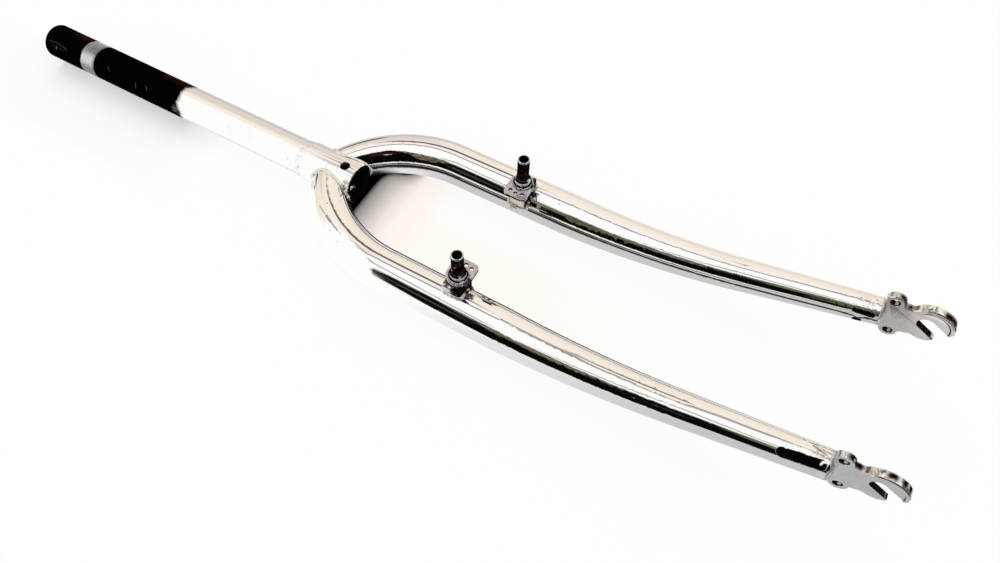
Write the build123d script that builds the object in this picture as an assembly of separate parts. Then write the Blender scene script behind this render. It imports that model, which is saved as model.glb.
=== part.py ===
from build123d import *
import os
from math import acos, cos, degrees, radians, sin, sqrt

# Rigid bicycle fork, lying on its back. Millimetres.
# X runs across the fork and +X is the rider's right. Y runs along the steering axis towards the wheel.
# Z is up, which is the front of the fork. The origin is on the steering axis at the crown race shoulder.

# Steerer tube
steerer_diameter = 25.4
steerer_bore = 22.2
steerer_above_race = 244.5
steerer_below_race = 40.5
steerer_edge = 0.6
race_seat_diameter = 26.4
race_seat_length = 5.2
crown_diameter = 28.0
crown_hole_diameter = 7.0
crown_hole_below_race = 31.0

# Fork blades
blade_diameter = 28.6
blade_crown_diameter = 22.4
blade_bend_diameter = 27.4
blade_tip_diameter = 16.8
blade_wall = 1.2
blade_behind_axis = 0.8
bend_radius = 86.0
bend_end_below_race = 93.0
bend_end_spread = 49.4
rake_start_below_race = 180.5
rake_radius = 440.0
rake_angle = 15.75
drain_hole_diameter = 5.5
drain_hole_from_end = 10.7
drain_hole_turn = 17.0

# Dropouts, drawn flat with the axle at zero and the first axis along the blade
hub_spacing = 100.0
axle_below_race = 398.9
axle_ahead_of_blade = 0.7
dropout_thickness = 4.2
dropout_radius = 13.9
dropout_edge = 0.6
axle_slot_width = 9.0
axle_slot_angle = 45.0
round_ahead_of_axle = 1.4
hook_reach = 13.0
hook_tip_radius = 1.6
jaw_reach = 12.8
jaw_tip_radius = 0.7
lip_width = 2.2
lip_height = 1.2
eyelet_radius = 5.2
eyelet_hole_diameter = 5.0
eyelet_hole_chamfer = 0.5
eyelet_from_axle = 18.0
eyelet_half_spacing = 13.35
front_neck_angle = 132.0
rear_neck_angle = -124.0
neck_radius = 1.8
body_edge_from_axle = 22.6
tongue_length = 14.0
tongue_clearance = 0.4
blade_end_from_axle = 24.0
end_cap_height = 3.0

# Brake bosses, spring plates and studs
stud_below_race = 146.1
stud_spread = 41.55
stud_diameter = 8.0
stud_tip_height = 46.3
stud_shank_length = 6.0
stud_fit = 0.1
stud_edge = 0.6
stud_hole_diameter = 5.0
stud_hole_depth = 14.0
lower_collar_diameter = 12.5
lower_collar_height = 2.4
upper_collar_diameter = 10.5
upper_collar_height = 3.2
plate_height = 20.0
plate_thickness = 2.0
plate_radius = 7.5
plate_lobe_reach = 13.0
plate_lobe_width = 17.0
plate_lobe_corner = 4.0
spring_hole_diameter = 2.6
spring_hole_radius = 9.6
spring_hole_step = 27.0
boss_width = 13.0
boss_inboard = 6.5
boss_outboard = 9.5
boss_bottom = 4.0
boss_corner = 2.0

# Weld beads
crown_weld_radius = 1.6
boss_weld_width = 1.5
boss_weld_height = 1.6
boss_weld_passes = 2

# Derived lines and points of the right blade
blade_height = -blade_behind_axis
dropout_inside = hub_spacing / 2
dropout_middle = dropout_inside + dropout_thickness / 2
leg_length = axle_below_race - bend_end_below_race
leg_slope = (dropout_middle - bend_end_spread) / leg_length
leg_across = leg_slope / sqrt(1 + leg_slope**2)
leg_along = 1 / sqrt(1 + leg_slope**2)
tilt_along = cos(radians(rake_angle))
tilt_up = sin(radians(rake_angle))
leg_direction = Vector(leg_across, leg_along, 0)
tip_direction = leg_direction * tilt_along + Vector(0, 0, tilt_up)
bend_centre = Vector(bend_end_spread - bend_radius * leg_along,
                     bend_end_below_race + bend_radius * leg_across,
                     blade_height)
bend_end = Vector(bend_end_spread, bend_end_below_race, blade_height)
bend_last_angle = degrees(acos(leg_along))
bend_first_angle = degrees(acos(-bend_centre.X / bend_radius))
rake_start = bend_end + leg_direction * ((rake_start_below_race - bend_end_below_race) / leg_along)
rake_rise = Vector(0, 0, rake_radius * (1 - tilt_along))
rake_end = rake_start + leg_direction * (rake_radius * tilt_up) + rake_rise
axle_run = (axle_below_race - rake_end.Y) / tip_direction.Y
blade_end_run = axle_run - blade_end_from_axle
blade_end = rake_end + tip_direction * blade_end_run
axle_height = (rake_end + tip_direction * axle_run).Z + axle_ahead_of_blade / tilt_along
stud_base = plate_height + plate_thickness


def bend_point(angle):
    """Point of the bend's centreline at an angle round the bend's centre."""
    turn = radians(angle)
    return bend_centre + Vector(cos(turn), -sin(turn), 0) * bend_radius


def bend_direction(angle):
    """Direction of the bend's centreline, away from the steerer."""
    turn = radians(angle)
    return Vector(sin(turn), cos(turn), 0)


def rake_point(angle):
    """Point of the rake's centreline after it has turned up by an angle."""
    turn = radians(angle)
    rise = Vector(0, 0, rake_radius * (1 - cos(turn)))
    return rake_start + leg_direction * (rake_radius * sin(turn)) + rise


def round_section(point, direction, radius):
    """Disc across a blade's centreline."""
    return Plane(origin=point, z_dir=direction) * Circle(radius)


def blade_radius_after_rake(run):
    """Outside radius at a distance along the blade from the start of the rake, which tapers evenly."""
    rake_run = rake_radius * radians(rake_angle)
    share = run / (rake_run + blade_end_run)
    return (blade_diameter + (blade_tip_diameter - blade_diameter) * share) / 2


def blade_body(inset):
    """Solid inside a blade's outline, moved in by a wall."""
    leg_radius = blade_diameter / 2 - inset
    bend_middle_angle = (bend_first_angle + bend_last_angle) / 2
    bend_places = [
        (bend_first_angle, blade_crown_diameter),
        (bend_middle_angle, blade_bend_diameter),
        (bend_last_angle, blade_diameter),
    ]
    bend_sections = [
        round_section(bend_point(angle), bend_direction(angle), diameter / 2 - inset)
        for angle, diameter in bend_places
    ]
    bend_path = ThreePointArc(bend_point(bend_first_angle), bend_point(bend_middle_angle), bend_end)
    bend = sweep(bend_sections, path=bend_path, multisection=True)
    leg = extrude(round_section(bend_end, leg_direction, leg_radius), (rake_start - bend_end).length)
    rake_path = ThreePointArc(rake_start, rake_point(rake_angle / 2), rake_end)
    rake_end_radius = blade_radius_after_rake(rake_radius * radians(rake_angle)) - inset
    rake_sections = [
        round_section(rake_start, leg_direction, leg_radius),
        round_section(rake_end, tip_direction, rake_end_radius),
    ]
    rake = sweep(rake_sections, path=rake_path, multisection=True)
    tip_sections = [
        round_section(rake_end, tip_direction, rake_end_radius),
        round_section(blade_end, tip_direction, blade_tip_diameter / 2 - inset),
    ]
    tip = loft(tip_sections)
    return bend + leg + rake + tip


def along_steerer(first, last, diameter):
    """Solid cylinder on the steering axis between two places along it."""
    return extrude(Plane(origin=(0, first, 0), z_dir=(0, 1, 0)) * Circle(diameter / 2), last - first)


def make_steerer():
    """Plain steerer with its crown race seat, the thicker crown end and the bolt hole through it."""
    tube = along_steerer(-steerer_above_race, 0, steerer_diameter)
    tube += along_steerer(-race_seat_length, 0, race_seat_diameter)
    tube += along_steerer(0, steerer_below_race, crown_diameter)
    ends = tube.edges().filter_by(GeomType.CIRCLE).sort_by(Axis.Y)
    tube = chamfer([ends[0], ends[-1]], steerer_edge)
    tube -= along_steerer(-steerer_above_race, steerer_below_race, steerer_bore)
    hole_plane = Plane(origin=(0, crown_hole_below_race, 0))
    tube -= extrude(hole_plane * Circle(crown_hole_diameter / 2), crown_diameter, both=True)
    return tube


def steerer_cutter():
    """Round post of the crown end's diameter that the blades are mitred against."""
    return along_steerer(-bend_end_below_race, bend_end_below_race, crown_diameter)


def make_blade(outside, inside):
    """Hollow blade, mitred against the steerer, with a drain hole near its lower end."""
    blade = outside - inside - steerer_cutter()
    hole_point = blade_end - tip_direction * drain_hole_from_end
    turn = radians(drain_hole_turn)
    behind = Vector(0, tilt_up, -tilt_along)
    inward = Vector(-cos(turn), 0, 0) + behind * sin(turn)
    hole_plane = Plane(origin=hole_point, z_dir=inward)
    return blade - extrude(hole_plane * Circle(drain_hole_diameter / 2), blade_diameter)


def make_crown_weld(outside):
    """Bead round the mitre between a blade and the steerer."""
    mitred = outside - steerer_cutter()
    mitre = mitred.faces().sort_by(Axis.X)[0].outer_wire()
    start = Plane(origin=mitre @ 0, z_dir=mitre % 0)
    bead = sweep(start * Circle(crown_weld_radius), path=mitre)
    return bead - steerer_cutter() - outside


def dropout_plane(offset):
    """Drawing plane of the right dropout, an offset outside its inner face."""
    return Plane(
        origin=(dropout_inside + offset, axle_below_race, axle_height),
        x_dir=(0, tilt_along, tilt_up),
        z_dir=(1, 0, 0),
    )


def slot_box(first, last, low, high):
    """Rectangle in the axle slot's own directions, along the slot and across it towards the hook."""
    box = Pos((first + last) / 2, (low + high) / 2) * Rectangle(last - first, high - low)
    return Rot(0, 0, -axle_slot_angle) * box


def eyelet_places():
    """Centres of the front and the rear eyelet on the dropout's drawing."""
    middle = -axle_ahead_of_blade
    return [(-eyelet_from_axle, middle + side * eyelet_half_spacing) for side in (1, -1)]


def round_centre():
    """Centre of the dropout's round part, which lies along the slot from the axle."""
    return Vector(round_ahead_of_axle, 0).rotate(Axis.Z, -axle_slot_angle)


def neck_place(angle):
    """Point on the dropout's round part at an angle from the blade's direction."""
    turn = radians(angle)
    return round_centre() + Vector(cos(turn), sin(turn)) * dropout_radius


def nearest_corner(outline, place):
    """Corner of an outline that lies nearest to a place."""
    return outline.vertices().sort_by_distance(place)[0]


def dropout_outline():
    """Flat outline of a dropout without its eyelet holes."""
    front, rear = (Vector(*place) for place in eyelet_places())
    front_neck = neck_place(front_neck_angle)
    rear_neck = neck_place(rear_neck_angle)
    body = make_face(Polyline(
        (-body_edge_from_axle, rear.Y), (-body_edge_from_axle, front.Y), front, front_neck,
        (0, 0), rear_neck, rear, close=True))
    outline = body + Pos(round_centre()) * Circle(dropout_radius)
    for place in (front, rear):
        outline += Pos(place) * Circle(eyelet_radius)
    for place, neck in ((front, front_neck), (rear, rear_neck)):
        foot = place + (neck - place).normalized() * eyelet_radius
        outline = fillet([nearest_corner(outline, foot), nearest_corner(outline, neck)], neck_radius)
    far = 3 * dropout_radius
    half_slot = axle_slot_width / 2
    outline -= Circle(half_slot)
    outline -= slot_box(0, far, -half_slot, half_slot)
    outline -= slot_box(hook_reach, far, half_slot, far)
    outline -= slot_box(jaw_reach, far, -far, -half_slot)
    for reach, side, radius in ((hook_reach, 1, hook_tip_radius), (jaw_reach, -1, jaw_tip_radius)):
        outside_edge = sqrt(dropout_radius**2 - (reach - round_ahead_of_axle)**2)
        corners = [Vector(reach, side * half_slot), Vector(reach, side * outside_edge)]
        turned = [corner.rotate(Axis.Z, -axle_slot_angle) for corner in corners]
        outline = fillet([nearest_corner(outline, corner) for corner in turned], radius)
    return outline


def make_dropout():
    """Flat dropout with two eyelets, an open axle slot, a raised lip and a tongue for the blade."""
    outline = dropout_outline()
    plate = extrude(dropout_plane(0) * outline, dropout_thickness)
    plate = chamfer(plate.faces().sort_by(Axis.X)[0].edges(), dropout_edge)
    ring = Pos(round_centre()) * (Circle(dropout_radius) - Circle(dropout_radius - lip_width))
    hook_side = slot_box(-dropout_radius, hook_reach, axle_slot_width / 2, 2 * dropout_radius)
    lip_area = ring & outline & hook_side
    lip = extrude(dropout_plane(dropout_thickness) * lip_area, lip_height)
    lip_arcs = lip.faces().sort_by(Axis.X)[-1].edges().filter_by(GeomType.CIRCLE)
    rim = lip_arcs.sort_by(SortBy.LENGTH)[-1]
    plate += chamfer(rim, dropout_edge)
    bore_radius = blade_tip_diameter / 2 - blade_wall
    tongue_half = sqrt((bore_radius - tongue_clearance)**2 - (dropout_thickness / 2 + tongue_clearance)**2)
    tongue_middle = -body_edge_from_axle - tongue_length / 2
    tongue = Pos(tongue_middle, -axle_ahead_of_blade) * Rectangle(tongue_length, 2 * tongue_half)
    plate += extrude(dropout_plane(0) * tongue, dropout_thickness)
    hole_radius = eyelet_hole_diameter / 2
    for place in eyelet_places():
        hole = Pos(*place) * Circle(hole_radius)
        mouth = Pos(*place) * Circle(hole_radius + eyelet_hole_chamfer)
        plate -= extrude(dropout_plane(0) * hole, dropout_thickness)
        plate -= loft([dropout_plane(0) * mouth, dropout_plane(eyelet_hole_chamfer) * hole])
        plate -= loft([dropout_plane(dropout_thickness - eyelet_hole_chamfer) * hole,
                       dropout_plane(dropout_thickness) * mouth])
    return plate


def make_dropout_weld(dropout):
    """Rounded bead that closes the blade's lower end round the dropout."""
    radius = blade_tip_diameter / 2
    profile = make_face([
        Line((0, 0), (radius, 0)),
        EllipticalCenterArc((0, 0), radius, end_cap_height, start_angle=0, arc_size=90),
        Line((0, end_cap_height), (0, 0)),
    ])
    end_plane = Plane(origin=blade_end, x_dir=(1, 0, 0), z_dir=tip_direction)
    cap = revolve(Plane.XZ * profile, Axis.Z)
    return end_plane * cap - dropout


def boss_block(bottom, grow):
    """Rounded block round the stud's axis, grown all round, from a bottom height up to the spring plate."""
    width = boss_inboard + boss_outboard + 2 * grow
    middle = stud_spread + (boss_outboard - boss_inboard) / 2
    base = RectangleRounded(width, boss_width + 2 * grow, boss_corner + grow)
    return extrude(Plane(origin=(middle, stud_below_race, bottom)) * base, plate_height - bottom)


def make_boss(outside):
    """Block that carries the stud, saddled on the front of the blade."""
    socket = Plane(origin=(stud_spread, stud_below_race, plate_height - stud_shank_length))
    hole = extrude(socket * Circle(stud_diameter / 2), stud_shank_length)
    return boss_block(boss_bottom, 0) - hole - outside


def make_boss_weld(outside):
    """Bead on the blade round the foot of the boss, each pass narrower and higher than the last."""
    bead = Part()
    for weld_pass in range(boss_weld_passes):
        width = boss_weld_width * (boss_weld_passes - weld_pass) / boss_weld_passes
        height = boss_weld_height * (weld_pass + 1) / boss_weld_passes
        jacket = extrude(round_section(bend_end, leg_direction, blade_diameter / 2 + height),
                         (rake_start - bend_end).length)
        bead += jacket & boss_block(boss_bottom - width, width)
    return bead - boss_block(boss_bottom, 0) - outside


def make_spring_plate():
    """Flat plate between the boss and the stud, with three spring holes on its inboard lobe."""
    lobe_length = plate_lobe_reach + plate_lobe_corner
    lobe = Pos(plate_lobe_corner - lobe_length / 2, 0) * RectangleRounded(
        lobe_length, plate_lobe_width, plate_lobe_corner)
    outline = lobe + Circle(plate_radius) - Circle(stud_diameter / 2)
    for step in (-1, 0, 1):
        turn = radians(180 + step * spring_hole_step)
        outline -= Pos(spring_hole_radius * cos(turn), spring_hole_radius * sin(turn)) * Circle(
            spring_hole_diameter / 2)
    return extrude(Plane(origin=(stud_spread, stud_below_race, plate_height)) * outline, plate_thickness)


def make_stud():
    """Turned stud with two collars, a shank in the boss and a bolt hole in its tip."""
    collar_top = stud_base + lower_collar_height + upper_collar_height
    shank_bottom = plate_height - stud_shank_length

    def round_bar(low, high, diameter):
        return extrude(Plane(origin=(stud_spread, stud_below_race, low)) * Circle(diameter / 2), high - low)

    pin = round_bar(collar_top, stud_tip_height, stud_diameter)
    pin = chamfer(pin.edges().sort_by(Axis.Z)[-1], stud_edge)
    stud = pin + round_bar(shank_bottom, stud_base, stud_diameter - 2 * stud_fit)
    stud += round_bar(stud_base, stud_base + lower_collar_height, lower_collar_diameter)
    stud += round_bar(stud_base + lower_collar_height, collar_top, upper_collar_diameter)
    return stud - round_bar(stud_tip_height - stud_hole_depth, stud_tip_height, stud_hole_diameter)


right_outside = blade_body(0)
right_inside = blade_body(blade_wall)
right_dropout = make_dropout()

right_pieces = {
    "blade": make_blade(right_outside, right_inside),
    "crown_weld": make_crown_weld(right_outside),
    "dropout": right_dropout,
    "dropout_weld": make_dropout_weld(right_dropout),
    "brake_boss": make_boss(right_outside),
    "boss_weld": make_boss_weld(right_outside),
    "spring_plate": make_spring_plate(),
    "brake_stud": make_stud(),
}

os.makedirs("parts", exist_ok=True)
export_step(make_steerer(), "parts/steerer_tube.step")
for name, piece in right_pieces.items():
    export_step(piece, f"parts/right_{name}.step")
    export_step(mirror(piece, about=Plane.YZ), f"parts/left_{name}.step")
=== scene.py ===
import bmesh
import bpy
import math
import numpy as np
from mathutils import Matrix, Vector, noise


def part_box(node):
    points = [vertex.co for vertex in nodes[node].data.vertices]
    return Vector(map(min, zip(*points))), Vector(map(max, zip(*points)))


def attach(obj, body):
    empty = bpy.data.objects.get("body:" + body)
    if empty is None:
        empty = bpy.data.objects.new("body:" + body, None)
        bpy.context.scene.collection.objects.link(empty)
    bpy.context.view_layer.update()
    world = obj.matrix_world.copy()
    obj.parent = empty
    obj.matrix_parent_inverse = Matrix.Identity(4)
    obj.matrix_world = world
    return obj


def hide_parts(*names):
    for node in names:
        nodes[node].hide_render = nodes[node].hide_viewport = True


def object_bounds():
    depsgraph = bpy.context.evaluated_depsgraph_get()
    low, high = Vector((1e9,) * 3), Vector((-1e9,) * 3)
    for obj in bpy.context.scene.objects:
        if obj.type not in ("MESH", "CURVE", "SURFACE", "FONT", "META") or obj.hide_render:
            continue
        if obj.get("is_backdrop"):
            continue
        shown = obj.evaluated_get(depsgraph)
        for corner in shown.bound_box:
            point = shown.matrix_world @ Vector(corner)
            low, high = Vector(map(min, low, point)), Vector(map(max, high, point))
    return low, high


# Looks of the rigid bicycle fork: chrome finishes, weld beads, threads, floor, light and camera.
# Lengths are in metres. In the finishes and their tables they are in millimetres.

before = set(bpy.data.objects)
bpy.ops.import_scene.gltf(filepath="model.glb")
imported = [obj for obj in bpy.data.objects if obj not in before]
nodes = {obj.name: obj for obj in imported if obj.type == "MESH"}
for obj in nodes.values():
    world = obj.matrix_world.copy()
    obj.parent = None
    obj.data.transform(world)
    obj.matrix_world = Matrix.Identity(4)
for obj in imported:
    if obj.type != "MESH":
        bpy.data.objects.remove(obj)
cad_low, cad_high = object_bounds()
SIDES = {"left": -1, "right": 1}
CROWN_RADIUS = 0.014
BLADE_WALL = 0.0012
AXLE = np.array([0.0, 0.3989, 0.044362])
SLOT_ALONG = np.array([0.0, 0.8726, -0.4886])
SLOT_ACROSS = np.array([0.0, 0.4886, 0.8726])
SLOT_HALF_WIDTH = 0.0045
ROUND_CENTRE = AXLE + 0.0014 * SLOT_ALONG
DROPOUT_INSIDE = 0.050
DROPOUT_OUTSIDE = 0.0542
EYELETS = ((0.378142, 0.051651), (0.385390, 0.025953))
SUNK = 0.00003
STUD_X_MM = 41.55
STUD_Y_MM = 146.1
PLATE_TOP_MM = 21.5
SPRING_HOLE_REACH_MM = 9.6
SPRING_HOLE_TURNS = (-27.0, 0.0, 27.0)


class Graph:
    """Short calls that build one node tree."""

    def __init__(self, tree):
        self.tree = tree
        tree.nodes.clear()

    def node(self, kind, **settings):
        made = self.tree.nodes.new(kind)
        for name, value in settings.items():
            setattr(made, name, value)
        return made

    def put(self, socket, value):
        if isinstance(value, bpy.types.NodeSocket):
            self.tree.links.new(value, socket)
        elif socket.type == "RGBA":
            socket.default_value = (*value, 1.0)
        else:
            socket.default_value = value

    def fill(self, node, values):
        """Sets a node's inputs, by name or number, and gives its first output."""
        for key, value in values.items():
            self.put(node.inputs[key], value)
        return node.outputs[0]

    def math(self, operation, a, b=0.0, c=0.0, clamp=False):
        made = self.node("ShaderNodeMath", operation=operation, use_clamp=clamp)
        return self.fill(made, {0: a, 1: b, 2: c})

    def vector(self, operation, a, b=(0.0, 0.0, 0.0)):
        made = self.node("ShaderNodeVectorMath", operation=operation)
        self.fill(made, {0: a, "Scale" if operation == "SCALE" else 1: b})
        gives_number = operation in ("LENGTH", "DISTANCE", "DOT_PRODUCT")
        return made.outputs["Value" if gives_number else 0]

    def dot(self, a, b):
        return self.vector("DOT_PRODUCT", a, b)

    def times(self, first, *others):
        made = first
        for value in others:
            made = self.math("MULTIPLY", made, value)
        return made

    def times_plus(self, value, factor, added):
        return self.math("MULTIPLY_ADD", value, factor, added)

    def plus(self, a, b):
        return self.math("ADD", a, b)

    def minus(self, a, b):
        return self.math("SUBTRACT", a, b)

    def rest(self, share):
        return self.math("SUBTRACT", 1.0, share)

    def larger(self, a, b):
        return self.math("MAXIMUM", a, b)

    def smaller(self, a, b):
        return self.math("MINIMUM", a, b)

    def parts(self, a):
        made = self.node("ShaderNodeSeparateXYZ")
        self.fill(made, {0: a})
        return tuple(made.outputs)

    def step(self, value, low, high):
        """0 at low and 1 at high, smooth between them; low may be the larger."""
        made = self.node("ShaderNodeMapRange", interpolation_type="SMOOTHSTEP", clamp=True)
        first, last = (0.0, 1.0) if low < high else (1.0, 0.0)
        return self.fill(made, {0: value, 1: min(low, high), 2: max(low, high), 3: first, 4: last})

    def band(self, value, start, full, fall, end):
        """1 between full and fall, and 0 before start and after end."""
        return self.times(self.step(value, start, full), self.step(value, end, fall))

    def mix(self, share, a, b):
        """Mix of two colours."""
        made = self.node("ShaderNodeMix", data_type="RGBA", clamp_factor=True)
        self.fill(made, {0: share, 6: a, 7: b})
        return made.outputs[2]

    def blend(self, share, a, b):
        """Mix of two numbers."""
        made = self.node("ShaderNodeMix", data_type="FLOAT", clamp_factor=True)
        return self.fill(made, {0: share, 2: a, 3: b})

    def noise(self, where, scale, detail=3.0, roughness=0.5, distortion=0.0):
        return self.fill(self.node("ShaderNodeTexNoise"), {
            "Vector": where, "Scale": scale, "Detail": detail, "Roughness": roughness,
            "Distortion": distortion})

    def dots(self, where, scale):
        """Distance to the nearest of scattered points, in cells."""
        return self.fill(self.node("ShaderNodeTexVoronoi", feature="F1"), {"Vector": where, "Scale": scale})

    def glow(self, kind, tint, strength):
        """Emission or background shader."""
        return self.fill(self.node(kind), {"Color": tint, "Strength": strength})

    def mix_shaders(self, share, a, b):
        return self.fill(self.node("ShaderNodeMixShader"), {0: share, 1: a, 2: b})

    def output(self, kind, shader):
        self.put(self.node(kind).inputs["Surface"], shader)

    def wander(self, where, scale, detail=3.0, roughness=0.5):
        """Noise about zero."""
        return self.minus(self.noise(where, scale, detail, roughness), 0.5)


class Finish:
    """A metal surface built up in layers: colour, metal share, roughness and a height in millimetres."""

    def __init__(self, name, base, metal, rough, gloss=0.0):
        self.material = bpy.data.materials.new(name)
        self.material.use_nodes = True
        self.graph = g = Graph(self.material.node_tree)
        place = g.node("ShaderNodeTexCoord").outputs
        self.normal = place["Normal"]
        self.mm = g.vector("SCALE", place["Object"], 1000.0)
        self.x, self.y, self.z = g.parts(self.mm)
        self.colour, self.metal, self.rough, self.gloss, self.height = base, metal, rough, gloss, 0.0

    def layer(self, share, tint=None, metal=None, rough=None):
        """Covers a share of the surface with another finish; several shares are multiplied."""
        g = self.graph
        if isinstance(share, tuple):
            share = g.times(*share)
        if tint is not None:
            self.colour = g.mix(share, self.colour, tint)
        if metal is not None:
            self.metal = g.blend(share, self.metal, metal)
        if rough is not None:
            self.rough = g.blend(share, self.rough, rough)

    def raise_by(self, *factors):
        """Raises the surface by the product of the factors, in millimetres."""
        self.height = self.graph.plus(self.height, self.graph.times(*factors))

    def squeezed(self, x, y, z):
        """Coordinates for marks that run along one axis: the smaller the number, the longer the marks."""
        return self.graph.vector("MULTIPLY", self.mm, (x, y, z))

    def patches(self, low, high, scale, detail=3.0, roughness=0.5):
        """Patches of noise: 0 where it is below low and 1 where it is above high."""
        return self.graph.step(self.graph.noise(self.mm, scale, detail, roughness), low, high)

    def spot(self, centre, radius, ragged=0.6, soft=0.45):
        """Ragged round patch about a place in millimetres: 1 inside and 0 outside."""
        g = self.graph
        wander = g.wander(self.mm, 2.2 / radius, 4.0, 0.6)
        far = g.times_plus(wander, 2 * ragged * radius, g.vector("DISTANCE", self.mm, centre))
        return g.step(far, radius, radius * (1 - soft))

    def from_line(self, y, z):
        """Distance from a line across the fork, through a place given in metres."""
        away = self.graph.vector("SUBTRACT", self.mm, (0.0, 1000 * y, 1000 * z))
        return self.graph.vector("LENGTH", self.graph.vector("MULTIPLY", away, (0.0, 1.0, 1.0)))

    def scratch(self, first, last, width, ragged=0.0, soft=0.6):
        """Line between two places in millimetres, thin or smeared."""
        g = self.graph
        run = Vector(last) - Vector(first)
        from_first = g.vector("SUBTRACT", self.mm, first)
        share = g.dot(from_first, tuple(run / run.length_squared))
        share = g.math("ADD", share, 0.0, clamp=True)
        far = g.vector("DISTANCE", from_first, g.vector("SCALE", tuple(run), share))
        if ragged:
            wander = g.wander(self.mm, 1.4 / width, 4.0, 0.6)
            far = g.times_plus(wander, 2 * ragged * width, far)
        return g.step(far, width, (1 - soft) * width)

    def close(self):
        g = self.graph
        bump = g.fill(g.node("ShaderNodeBump"), {"Strength": 1.0, "Distance": 0.001, "Height": self.height})
        shader = g.fill(g.node("ShaderNodeBsdfPrincipled"), {
            "Base Color": self.colour, "Metallic": self.metal, "Roughness": self.rough,
            "Specular IOR Level": self.gloss, "Normal": bump})
        g.output("ShaderNodeOutputMaterial", shader)
        return self.material


RUST = (0.23, 0.085, 0.025)
GRIME = (0.022, 0.018, 0.014)
OLD_OIL = (0.055, 0.034, 0.020)


def polished(name, base=(0.93, 0.93, 0.925), rough=0.035, waviness=1.0):
    """Polished chrome plate with waves from the tube below, fine scratches, haze and small pits."""
    f = Finish(name, base, 1.0, rough)
    g = f.graph
    wave = g.noise(f.squeezed(1.0, 0.30, 1.0), 0.045, 2.0, 0.45)
    f.raise_by(wave, 0.50 * waviness)
    ripple = g.noise(f.squeezed(1.0, 0.20, 1.0), 0.22, 2.0, 0.5)
    f.raise_by(ripple, 0.014 * waviness)
    haze = g.noise(f.mm, 0.035, 5.0, 0.6, 0.4)
    f.layer(g.step(haze, 0.52, 0.75), rough=rough + 0.06)
    hairline = g.noise(f.squeezed(2.6, 0.045, 2.6), 1.0, 2.0, 0.5)
    hair = g.step(hairline, 0.66, 0.74)
    f.layer((hair, 0.5), rough=rough + 0.16)
    f.raise_by(hair, -0.0035)
    cross = g.noise(f.squeezed(0.09, 1.9, 0.5), 1.0, 3.0, 0.5, 0.6)
    mark = g.times(g.step(cross, 0.70, 0.77), f.patches(0.50, 0.62, 0.02, 2.0))
    f.layer((mark, 0.6), (0.60, 0.58, 0.54), rough=0.30)
    pit = g.times(g.step(g.dots(f.mm, 0.16), 0.055, 0.035), f.patches(0.52, 0.60, 0.03, 3.0))
    f.layer(pit, (0.16, 0.12, 0.09), 0.6, 0.45)
    stain = g.times(f.patches(0.58, 0.74, 0.06, 5.0, 0.65), 0.35)
    f.layer(stain, (0.80, 0.75, 0.66), rough=rough + 0.07)
    return f, g


# Scratches on the black end: first place, last place, width and share.
SCRATCHES = (
    ((8.6, -240.0, 9.3), (8.3, -233.5, 9.6), 0.26, 0.12),
    ((8.3, -233.5, 9.6), (8.8, -225.1, 9.2), 0.28, 0.16),
    ((8.8, -225.1, 9.2), (9.6, -221.5, 8.3), 0.30, 0.18),
    ((9.8, -239.6, 8.1), (10.1, -231.7, 7.8), 0.22, 0.08),
    ((10.1, -231.7, 7.8), (10.6, -224.6, 7.0), 0.22, 0.10),
    ((10.2, -232.4, 7.5), (11.3, -232.5, 5.7), 0.36, 0.55),
    ((7.7, -180.3, 10.1), (9.7, -178.1, 8.1), 0.46, 0.10),
    ((9.6, -152.4, 8.3), (11.6, -151.8, 5.2), 0.34, 0.20),
    ((8.3, -143.3, 9.6), (9.2, -141.6, 8.8), 0.30, 0.14),
    ((9.2, -141.6, 8.8), (10.8, -141.5, 6.7), 0.34, 0.22))


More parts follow.
